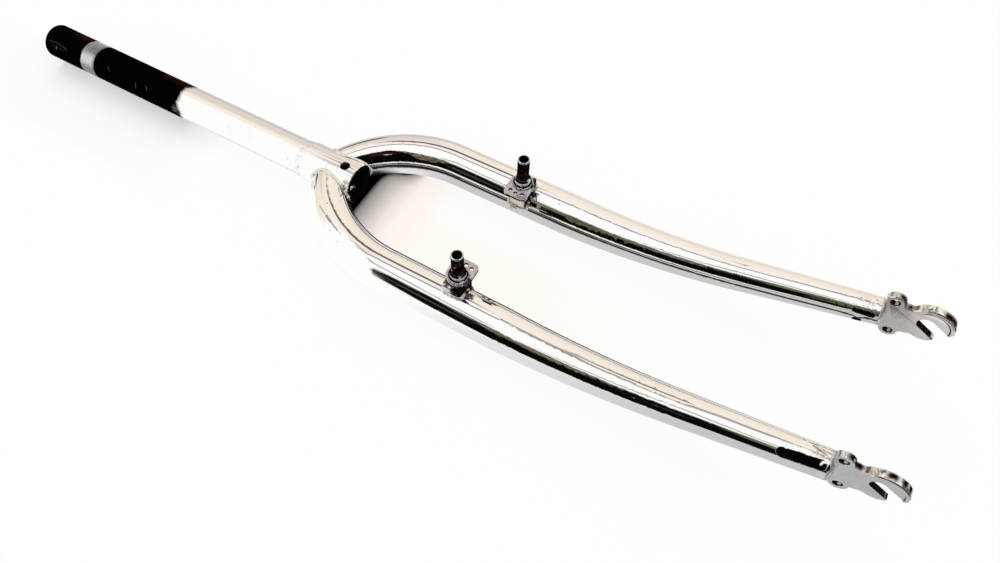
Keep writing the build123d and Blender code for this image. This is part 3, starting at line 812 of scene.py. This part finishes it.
def crown_line(side):
    """Line of the outer edge of a blade's mitre on the crown."""
    tolerance, narrowing, count = 2e-5, 1.25, 480
    blade = node_points(f"{side}_blade")
    from_axis = np.hypot(blade[:, 0], blade[:, 2])
    mitre = blade[np.abs(from_axis - CROWN_RADIUS) < tolerance]
    flat = mitre[:, 1:] - mitre[:, 1:].mean(0)
    reach = np.hypot(flat[:, 0], flat[:, 1] * narrowing)
    outer = mitre[reach > 0.5 * (reach.max() + reach.min()) - BLADE_WALL / 4]
    return smooth_loop(outer, count)


def rounded_copy(node, width, material):
    """Copy of a CAD node with its sharp edges rounded, in place of the node."""
    sharp = math.radians(32)
    mesh = nodes[node].data.copy()
    edit = bmesh.new()
    edit.from_mesh(mesh)
    bmesh.ops.remove_doubles(edit, verts=edit.verts, dist=2e-6)
    bmesh.ops.dissolve_limit(edit, angle_limit=math.radians(0.6), verts=edit.verts, edges=edit.edges)
    edit.to_mesh(mesh)
    edit.free()
    piece = link(f"{node}_rounded", mesh)
    bevel = piece.modifiers.new("round", "BEVEL")
    bevel.width = width
    bevel.segments = 3
    bevel.limit_method = "ANGLE"
    bevel.angle_limit = sharp
    bevel.harden_normals = True
    bevel.use_clamp_overlap = True
    mesh.shade_smooth()
    mesh.set_sharp_from_angle(angle=sharp)
    piece.data = settle(piece)
    dress(piece.data, material)
    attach(piece, "root")
    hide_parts(node)


def lumpy_copy(node, voxel, lump, material):
    """Copy of a weld's CAD node as set metal: soft edges and an uneven skin, in place of the node."""
    piece = link(f"{node}_bead", nodes[node].data.copy())
    remesh = piece.modifiers.new("set", "REMESH")
    remesh.mode = "VOXEL"
    remesh.voxel_size = voxel
    remesh.use_smooth_shade = True
    smooth = piece.modifiers.new("soften", "SMOOTH")
    smooth.factor = 0.5
    smooth.iterations = 2
    made = settle(piece)
    normals = [v.normal.copy() for v in made.vertices]
    for vertex, normal in zip(made.vertices, normals):
        place = vertex.co * 1000
        rise = noise.noise(place * 0.55) + 0.5 * noise.noise(place * 1.3)
        vertex.co += normal * (lump * rise + voxel * 0.25)
    piece.data = made
    dress(made, material)
    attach(piece, "root")
    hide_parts(node)


def lip_ridge(sign):
    """Half-round ridge on the dropout's inner face, behind the lip."""
    first_turn, whole_turn = 24, 124
    reach, half_width, height = 0.0121, 0.00075, 0.00055
    count, ring = 140, 12
    verts = []
    for i in range(count + 1):
        turn = math.radians(first_turn + whole_turn * i / count)
        out = math.cos(turn) * SLOT_ALONG + math.sin(turn) * SLOT_ACROSS
        fade = min(1.0, 8 * i / count, 8 * (count - i) / count)
        for k in range(ring + 1):
            lean = math.pi * k / ring
            proud = height * math.sin(lean) * fade - SUNK
            inner_face = np.array([sign * (DROPOUT_INSIDE - proud), 0.0, 0.0])
            verts.append(ROUND_CENTRE + out * (reach + half_width * math.cos(lean)) + inner_face)
    return verts, grid_faces(count + 1, ring + 1)


def jaw_ribs(sign, way, reach, seed):
    """Strip of worn ridges that the axle's thread has pressed into one jaw of the slot."""
    pitch, height, least = 0.0009, 0.00028, 0.00004
    first_x, width = DROPOUT_INSIDE + 0.0007, 0.0028
    first_along, ends = 0.0008, 0.0024
    rows, columns = 26, 61
    rng = np.random.default_rng(seed)
    drift = 0.25 * rng.standard_normal(rows)
    verts = []
    for i in range(rows):
        along = first_along + (reach - ends) * i / (rows - 1)
        fade = min(1.0, 3 * i / rows, 3 * (rows - 1 - i) / rows)
        for k in range(columns):
            x = first_x + width * k / (columns - 1)
            wave = 0.5 + 0.5 * math.cos(2 * math.pi * x / pitch + drift[i])
            edge = min(1.0, 6 * k / columns, 6 * (columns - 1 - k) / columns)
            proud = (height * wave + least) * fade * edge - SUNK
            place = AXLE + SLOT_ALONG * along + SLOT_ACROSS * way * (SLOT_HALF_WIDTH - proud)
            verts.append(place + np.array([sign * x, 0.0, 0.0]))
    return verts, grid_faces(rows, columns)


WELD = weld_finish()
DROPOUT = dropout_finish()
THREAD = thread_finish()
FINISHES = {"weld": WELD, "steerer_tube": steerer_finish(), "blade": blade_finish(), "dropout": DROPOUT,
            "brake_boss": boss_finish(), "spring_plate": plate_finish(), "brake_stud": stud_finish()}
CROWN_BEAD = {"radius": 0.0015, "pitch": 0.0045, "depth": 0.02}
STUD_THREAD = {"length": 0.0125, "pitch": 0.001, "radius": 0.0025, "depth": 0.00020}
STUD_THREAD_BELOW_TIP = 0.0080
EYELET_THREAD = {"length": 0.0028, "pitch": 0.0008, "radius": 0.0025, "depth": 0.00022}
EDGE_WIDTHS = {"dropout": 0.00035, "spring_plate": 0.0003, "brake_boss": 0.0005, "brake_stud": 0.00022}
WELD_VOXEL_AND_LUMP = {"boss_weld": (0.0004, 0.00022), "dropout_weld": (0.0005, 0.00018)}
JAWS = ((-1, 0.0128), (1, 0.0130))

for node, piece in nodes.items():
    dress(piece.data, next(finish for word, finish in FINISHES.items() if node.endswith(word)))

for side, sign in SIDES.items():
    line, length = crown_line(side)
    outward = line * np.array([1.0, 0.0, 1.0])
    bead = rippled_bead(line, length, outward, 5 + sign, **CROWN_BEAD)
    add_piece(f"{side}_crown_bead", bead, WELD, "weld", f"{side}_crown_weld")

    low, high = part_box(f"{side}_brake_stud")
    centre = ((low.x + high.x) / 2, (low.y + high.y) / 2, high.z - STUD_THREAD_BELOW_TIP)
    thread = helix_thread(centre, (0, 0, 1), (1, 0, 0), **STUD_THREAD)
    add_piece(f"{side}_stud_thread", thread, THREAD, "brake_stud")
    for number, (y, z) in enumerate(EYELETS):
        centre = (sign * (DROPOUT_INSIDE + DROPOUT_OUTSIDE) / 2, y, z)
        thread = helix_thread(centre, (1, 0, 0), (0, 1, 0), **EYELET_THREAD)
        add_piece(f"{side}_eyelet_thread_{number + 1}", thread, THREAD, "dropout")

    for kind, width in EDGE_WIDTHS.items():
        rounded_copy(f"{side}_{kind}", width, FINISHES[kind])
    for kind, (voxel, lump) in WELD_VOXEL_AND_LUMP.items():
        lumpy_copy(f"{side}_{kind}", voxel, lump, WELD)
    add_piece(f"{side}_lip_ridge", lip_ridge(sign), DROPOUT, "dropout")
    for jaw, (way, reach) in enumerate(JAWS):
        ribs = jaw_ribs(sign, way, reach, 20 + jaw + sign)
        add_piece(f"{side}_jaw_ribs_{jaw + 1}", ribs, DROPOUT, "dropout")


def lay_floor():
    """White table top keeping part of the fork's shadow, with painted shade in its crown; the chrome
    mirrors it in painted tones set by place.
    """
    half = 4.0
    height = cad_low.z - 0.0001
    mesh = bpy.data.meshes.new("floor")
    corners = [(x, y, height) for x, y in ((-half, -half), (half, -half), (half, half), (-half, half))]
    mesh.from_pydata(corners, [], [(0, 1, 2, 3)])
    floor = link("floor", mesh)
    material = bpy.data.materials.new("table_top")
    material.use_nodes = True
    g = Graph(material.node_tree)
    where = g.node("ShaderNodeTexCoord").outputs["Object"]
    x, y, _ = g.parts(where)

    def within(value, low, high, soft):
        return g.band(value, low - soft, low, high, high + soft)

    def corner_of(*steps):
        """Share of the floor past an edge in x and an edge in y."""
        return g.times(*(g.step(*step) for step in steps))

    paint = g.node("ShaderNodeBsdfDiffuse")
    grain = g.mix(g.noise(where, 3.0, 3.0), (0.962, 0.960, 0.956), (0.972, 0.970, 0.967))
    g.put(paint.inputs["Color"], grain)

    # Painted shade in the fork's crown, darkest beside the left blade and below the steerer
    beside_left = g.math("POWER", g.larger(g.times(x, -1 / 0.0355), 0.0), 6.0)
    beside_left = g.times(beside_left, g.step(y, 0.072, 0.052))
    below_crown = g.math("POWER", g.larger(g.times(g.minus(0.0835, y), 1 / 0.046), 0.0), 3.0)
    inside = g.times(within(x, -0.036, 0.022, 0.008), g.step(y, 0.026, 0.034))
    bend = g.times_plus(g.minus(y, 0.030), 0.60, x)
    inside = g.times(inside, g.step(bend, -0.028, -0.021))
    depth = g.times(g.plus(beside_left, below_crown), inside)
    dim = 0.0
    falls = (
        (0.0, 0.06, 0.10), (0.03, 0.16, 0.14), (0.10, 0.30, 0.20), (0.24, 0.52, 0.20), (0.48, 0.82, 0.38))
    for low, high, share in falls:
        dim = g.times_plus(g.step(depth, low, high), share, dim)
    lit = g.math("SUBTRACT", 1.0, dim, clamp=True)
    # Painted warm light between the blades and warmer painted shade in the crown.
    warm = g.times(within(x, -0.004, 0.036, 0.012), g.band(y, 0.045, 0.075, 0.16, 0.30))
    glow = g.mix(warm, (1.0, 1.0, 1.0), (1.0, 0.980, 0.915))
    glow = g.mix(g.times(inside, g.step(y, 0.105, 0.075)), glow, (1.0, 0.930, 0.860))
    white = g.glow("ShaderNodeEmission", glow, lit)
    shaded = g.times(within(x, 0.004, 0.060, 0.015), g.step(y, -0.07, -0.12))
    lifted = g.larger(g.times_plus(shaded, -0.42, 0.92), g.smaller(dim, 1.0))

    # Painted shadow and painted reflection: tones that the chrome mirrors, each laid over the ones before
    beyond = g.larger(g.step(x, -0.055, -0.070), corner_of((x, -0.012, -0.020), (y, 0.02, -0.01)))
    beside = g.times(within(x, -0.044, -0.002, 0.008), within(y, 0.09, 0.40, 0.03))
    splayed = g.times_plus(g.minus(y, 0.15), -0.045, x)
    strip = g.times(within(splayed, 0.000, 0.043, 0.006), within(y, 0.07, 0.40, 0.02))
    pocket = g.larger(g.step(y, 0.060, 0.044), corner_of((y, 0.100, 0.070), (x, -0.004, 0.004)))
    far_dark_reflection = g.larger(g.step(y, 0.50, 0.56), corner_of((x, 0.75, 1.0), (y, -0.35, -0.20)))
    tones = (
        (corner_of((y, 0.17, 0.09), (x, 0.0, 0.02)), (1.06, 1.055, 1.045)),
        (g.times(within(x, -0.002, 0.014, 0.006), g.step(y, 0.01, -0.02)), (0.84, 0.835, 0.865)),
        (corner_of((x, 0.055, 0.07), (y, 0.15, 0.33)), (0.60, 0.60, 0.605)),
        (beyond, (0.68, 0.63, 0.62)),
        (corner_of((x, -0.072, -0.088), (y, 0.05, 0.09)), (0.87, 0.81, 0.75)),
        (corner_of((x, -0.18, -0.45), (y, 0.04, 0.0)), (0.46, 0.425, 0.415)),
        (beside, (0.63, 0.615, 0.60)),
        (strip, (0.040, 0.034, 0.028)),
        (g.times(inside, pocket), (0.018, 0.015, 0.013)),
        (far_dark_reflection, (0.030, 0.022, 0.016)))
    table = (0.84, 0.84, 0.85)
    for share, tint in tones:
        table = g.mix(share, table, tint)
    mirrored = g.glow("ShaderNodeEmission", table, 1.0)
    rays = g.node("ShaderNodeLightPath").outputs
    seen = g.mix_shaders(g.times(lifted, rays["Is Camera Ray"]), paint.outputs[0], white)
    g.output("ShaderNodeOutputMaterial", g.mix_shaders(rays["Is Glossy Ray"], seen, mirrored))
    mesh.materials.append(material)
    floor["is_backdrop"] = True


def light_room():
    """White room with a cream wall and a dark garden side for the chrome to mirror."""
    world = bpy.data.worlds.new("room")
    bpy.context.scene.world = world
    world.use_nodes = True
    g = Graph(world.node_tree)
    way = g.node("ShaderNodeTexCoord").outputs["Generated"]
    x, y, z = g.parts(way)
    azimuth = g.times(g.math("ARCTAN2", y, x), 180 / math.pi)
    height = g.times(g.math("ARCSINE", z), 180 / math.pi)
    streak = g.node("ShaderNodeCombineXYZ")
    g.put(streak.inputs[0], g.times_plus(height, 0.06, g.times(azimuth, 0.16)))
    g.put(streak.inputs[1], g.times(height, 0.055))
    leaves = g.noise(streak.outputs[0], 1.0, 4.0, 0.65, 0.8)
    wander = g.wander(way, 3.2, 3.0, 0.55)

    # Cream wall on white, with its corner, seams and shelf
    room = (1.06, 1.06, 1.055)
    toward_wall = g.dot(way, (-0.886, -0.463, 0.0))
    wall_top = g.times_plus(wander, 0.10, g.minus(z, g.times(toward_wall, 1.98)))
    wall_side = g.step(toward_wall, 0.08, 0.30)
    cream = g.mix(g.step(height, 2.0, 50.0), (0.940, 0.820, 0.690), (1.0, 0.905, 0.785))
    dusk = g.times(g.band(azimuth, -156.0, -146.0, -106.0, -96.0), g.step(height, 46.0, 30.0))
    cream = g.mix(dusk, cream, (0.775, 0.700, 0.625))
    low_wall = g.times(g.step(height, 14.0, -2.0), g.step(azimuth, -90.0, -100.0))
    along_wall = g.larger(g.step(azimuth, -112.0, -124.0), g.step(height, 57.0, 63.0))
    corner = g.times_plus(along_wall, -0.24, wall_top)
    cream = g.mix(g.times(low_wall, 0.4), cream, (0.60, 0.550, 0.545))
    room = g.mix(g.times(g.step(corner, 0.10, -0.04), wall_side), room, cream)
    seam_side = g.times(wall_side, g.larger(g.step(azimuth, -120.0, -128.0), g.step(height, 56.0, 60.0)))
    shelf = g.times(g.band(azimuth, -160.0, -154.0, -137.0, -130.0), g.step(height, 40.0, 44.0))
    pale = g.band(wall_top, -0.44, -0.36, 0.30, 0.40)
    room = g.mix(g.times(pale, shelf, 0.7), room, (1.0, 0.96, 1.0))
    away = g.rest(along_wall)
    lines = ((wall_top, -0.30, 0.20, g.times(seam_side, away, 0.84), (0.27, 0.145, 0.185)),
             (wall_top, 0.32, 0.62, g.times(seam_side, away, 0.26), (0.27, 0.145, 0.185)),
             (corner, -0.06, 0.26, g.times(seam_side, along_wall, 0.80), (0.20, 0.15, 0.15)),
             (wall_top, -0.74, -0.22, g.times(shelf, 0.94), (0.11, 0.062, 0.075)))
    for level, near, far, share, tint in lines:
        ramp = 0.3 * (far - near)
        seam = g.band(level, near, near + ramp, far - ramp, far)
        room = g.mix(g.times(seam, share), room, tint)

    # Dark board at the wall's foot and a thin rail
    board = g.band(azimuth, -141.0, -136.0, -100.0, -92.0)
    board = g.times(board, g.step(g.times_plus(wander, 6.0, height), 15.0, 11.0))
    room = g.mix(g.times(board, 0.92), room, (0.055, 0.045, 0.038))
    rail = g.times_plus(wander, 10.0, g.plus(height, g.times(azimuth, 0.18)))
    rail = g.band(rail, 46.0, 48.0, 49.2, 51.2)
    rail = g.times(rail, g.band(azimuth, -72.0, -58.0, -26.0, -18.0))
    room = g.mix(g.times(rail, 0.75), room, (0.17, 0.165, 0.15))

    # Garden side with leaves, black below them
    top = g.times_plus(g.step(azimuth, -8.0, 14.0), 18.0, g.times_plus(azimuth, 0.25, 53.5))
    behind = g.step(azimuth, 55.0, 75.0)
    top = g.times_plus(wander, 7.0, g.times_plus(behind, -40.0, g.smaller(top, 72.0)))
    left = g.plus(g.times_plus(height, 0.30, azimuth), g.times(wander, 5.0))
    garden_side = g.times(g.step(left, -20.5, -17.5), g.step(azimuth, 130.0, 118.0))
    below_top = g.minus(top, height)
    inside = g.times(garden_side, g.step(below_top, -2.0, 2.5))
    garden = g.mix(g.step(below_top, 1.0, 12.0), (0.27, 0.255, 0.205), (0.155, 0.135, 0.085))
    garden = g.mix(g.times(g.step(leaves, 0.52, 0.40), 0.85), garden, (0.030, 0.026, 0.015))
    garden = g.mix(g.times(g.step(leaves, 0.58, 0.68), 0.8), garden, (0.62, 0.55, 0.43))
    room = g.mix(inside, room, garden)
    black_top = 42.0
    drops = ((-23.0, -16.0, -9.0), (-27.0, -33.0, -13.0), (-12.0, -6.0, -13.0), (4.0, 11.0, 51.0))
    for first, last, rise in drops:
        black_top = g.times_plus(g.step(azimuth, first, last), rise, black_top)
    black_top = g.times_plus(g.minus(leaves, 0.5), -12.0, g.times_plus(behind, -59.0, black_top))
    below_black = g.minus(g.smaller(black_top, g.minus(top, 2.0)), height)
    black = g.times(g.step(below_black, -3.0, 3.0), garden_side)
    room = g.mix(black, room, (0.0022, 0.0016, 0.0012))
    gleam = g.times(g.band(height, 19.0, 25.0, 27.0, 32.0), garden_side)
    gleam = g.times(gleam, g.step(azimuth, -15.0, -19.0), g.step(leaves, 0.36, 0.58))
    room = g.mix(g.times(gleam, 0.55), room, (0.13, 0.125, 0.105))

    # Hand that holds the camera
    hand = g.vector("DISTANCE", way, (0.528, 0.258, 0.809))
    room = g.mix(g.step(hand, 0.17, 0.10), room, (0.040, 0.007, 0.005))
    palm = g.vector("DISTANCE", way, (0.609, 0.278, 0.743))
    room = g.mix(g.step(palm, 0.055, 0.035), room, (0.62, 0.40, 0.36))

    mirrored = g.glow("ShaderNodeBackground", room, 1.0)
    white = g.glow("ShaderNodeBackground", (1.0, 1.0, 1.0), 1.0)
    soft = g.glow("ShaderNodeBackground", (0.97, 0.985, 1.0), 0.80)
    rays = g.node("ShaderNodeLightPath").outputs
    lighting = g.mix_shaders(rays["Is Glossy Ray"], soft, mirrored)
    g.output("ShaderNodeOutputWorld", g.mix_shaders(rays["Is Camera Ray"], lighting, white))


def add_window():
    """Soft daylight from one side, as even over the table as a far window gives."""
    lamp = bpy.data.lights.new("window", "SUN")
    lamp.energy = 0.88
    lamp.angle = math.radians(42)
    lamp.color = (1.0, 0.985, 0.965)
    made = link("window", lamp)
    turn, rise = math.radians(-128), math.radians(52)
    place = Vector((math.cos(turn) * math.cos(rise), math.sin(turn) * math.cos(rise), math.sin(rise)))
    made.location = place * 3
    made.rotation_euler = (-place).to_track_quat("-Z", "Y").to_euler()
    made.visible_glossy = False


def add_camera():
    """Camera fitted to the photo by the fork's edges."""
    camera = bpy.data.cameras.new("camera")
    camera.sensor_width = 36.0
    camera.lens = 26.761
    camera.clip_start = 0.01
    made = link("camera", camera)
    made.location = (0.237549, 0.277014, 0.413383)
    made.rotation_euler = tuple(math.radians(a) for a in (30.5947, -0.9705, 119.1206))
    bpy.context.scene.camera = made


lay_floor()
light_room()
add_window()
add_camera()
bpy.context.scene.view_settings.view_transform = "Standard"

low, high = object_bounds()
